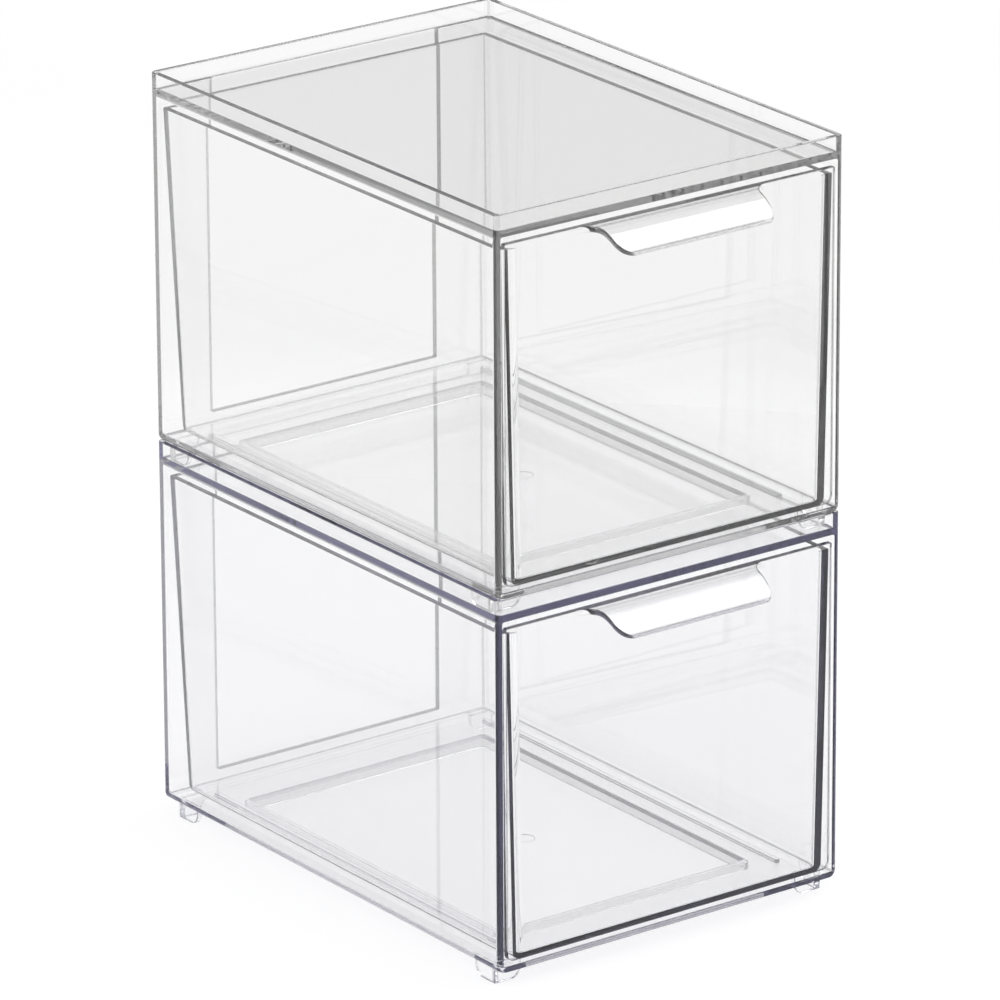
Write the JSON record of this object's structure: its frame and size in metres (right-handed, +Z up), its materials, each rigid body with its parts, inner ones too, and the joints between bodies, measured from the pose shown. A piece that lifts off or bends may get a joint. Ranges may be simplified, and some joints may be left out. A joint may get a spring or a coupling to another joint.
{
  "type": "stackable drawer box",
  "caption": "Stack of clear plastic cases, each with a pull-out drawer, a raised rim on top and corner feet that nest in the rim of the case below.",
  "frame": {"origin": "middle of the stack's footprint, pull lips included, on the surface that the feet stand on", "axes": "+Z up; the drawers open toward -Y; +X is to the right, seen from the front"},
  "size_m": [0.166, 0.249, 0.3143],
  "materials": {
    "lower_case_plastic": "clear, polished, faint violet edge",
    "lower_drawer_plastic": "clear, polished, faint violet edge",
    "upper_case_plastic": "clear, polished",
    "upper_drawer_plastic": "clear, polished"
  },
  "bodies": {
    "lower_case": {"lower_case": "lower_case_plastic"},
    "lower_drawer": {"lower_drawer": "lower_drawer_plastic"},
    "upper_case": {"upper_case": "upper_case_plastic"},
    "upper_drawer": {"upper_drawer": "upper_drawer_plastic"}
  },
  "joints": [
    {"name": "lower_drawer_slide", "type": "slide", "parent": "lower_case", "child": "lower_drawer", "axis": [0, -1, 0], "range_m": [0, 0.19]},
    {"name": "upper_case_lift", "type": "slide", "parent": "lower_case", "child": "upper_case", "axis": [0, 0, 1], "range_m": [0, 0.03]},
    {"name": "upper_drawer_slide", "type": "slide", "parent": "upper_case", "child": "upper_drawer", "axis": [0, -1, 0], "range_m": [0, 0.19]}
  ]
}
